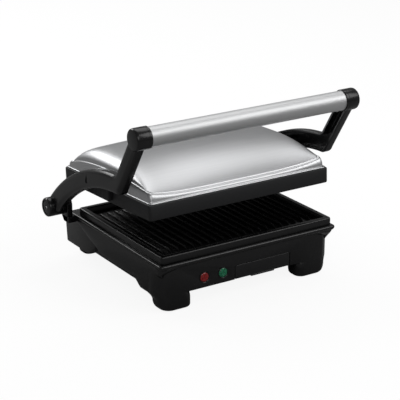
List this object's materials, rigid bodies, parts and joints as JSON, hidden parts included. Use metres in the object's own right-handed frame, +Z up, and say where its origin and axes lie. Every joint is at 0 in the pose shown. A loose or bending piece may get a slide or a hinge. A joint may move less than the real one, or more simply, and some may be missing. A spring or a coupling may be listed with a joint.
{
  "type": "panini press",
  "caption": "Contact grill with a domed steel lid on cranked arms, a tube handle, ribbed plates, a sliding drip tray and indicator lights.",
  "frame": {"origin": "on the table, under the middle of the bounding box in the rest pose", "axes": "+X to the right seen from the front, -Y towards the front with the drip tray and lights, +Z up"},
  "size_m": [0.3754, 0.284, 0.2712],
  "materials": {
    "black_plastic": "satin black moulding",
    "band_plastic": "fine matte texture",
    "rubber": "matte",
    "cast_plate": "black non-stick coating",
    "brushed_steel": "brushed",
    "bright_metal": "plain bright",
    "element_sheath": "heat-dulled",
    "red_lens": "translucent red",
    "green_lens": "translucent green",
    "board": "circuit board"
  },
  "bodies": {
    "base": {"base_housing": "black_plastic", "base_bottom_cover": "black_plastic", "foot_front_left": "rubber", "foot_front_right": "rubber", "foot_rear_left": "rubber", "foot_rear_right": "rubber", "lower_grill_plate": "cast_plate", "lower_heating_element": "element_sheath", "lower_reflector": "bright_metal", "lower_thermostat": "bright_metal", "power_light_lens": "red_lens", "ready_light_lens": "green_lens", "indicator_board": "board", "power_inlet_gland": "rubber"},
    "tray": {"drip_tray": "black_plastic"},
    "hinge_pins": {"hinge_axle_left": "bright_metal", "hinge_axle_right": "bright_metal"},
    "arms": {"arm_left": "black_plastic", "arm_right": "black_plastic", "handle_tube": "brushed_steel", "handle_screw_left": "bright_metal", "handle_screw_right": "bright_metal", "hub_cap_left": "black_plastic", "hub_cap_right": "black_plastic", "hub_screw_left": "bright_metal", "hub_screw_right": "bright_metal", "lid_pivot_pin_left": "bright_metal", "lid_pivot_pin_right": "bright_metal"},
    "lid": {"lid_frame": "band_plastic", "lid_cover": "brushed_steel", "upper_grill_plate": "cast_plate", "upper_heating_element": "element_sheath", "upper_reflector": "bright_metal", "upper_thermostat": "bright_metal"}
  },
  "joints": [
    {"name": "lid_open", "type": "hinge", "parent": "base", "child": "hinge_pins", "pos_m": [0, 0.117, 0.089], "axis": [-1, 0, 0], "range_deg": [0, 88]},
    {"name": "lid_close", "type": "hinge", "parent": "hinge_pins", "child": "arms", "pos_m": [0, 0.117, 0.089], "axis": [-1, 0, 0], "range_deg": [-18.8, 0]},
    {"name": "lid_level", "type": "hinge", "parent": "arms", "child": "lid", "pos_m": [0, 0.004, 0.16], "axis": [-1, 0, 0], "range_deg": [0, 15.9]},
    {"name": "drip_tray_slide", "type": "slide", "parent": "base", "child": "tray", "axis": [0, -1, 0], "range_m": [0, 0.11]}
  ],
  "couplings": [
    {"joint": "lid_level", "follows": "lid_close", "ratio": -0.8404}
  ]
}
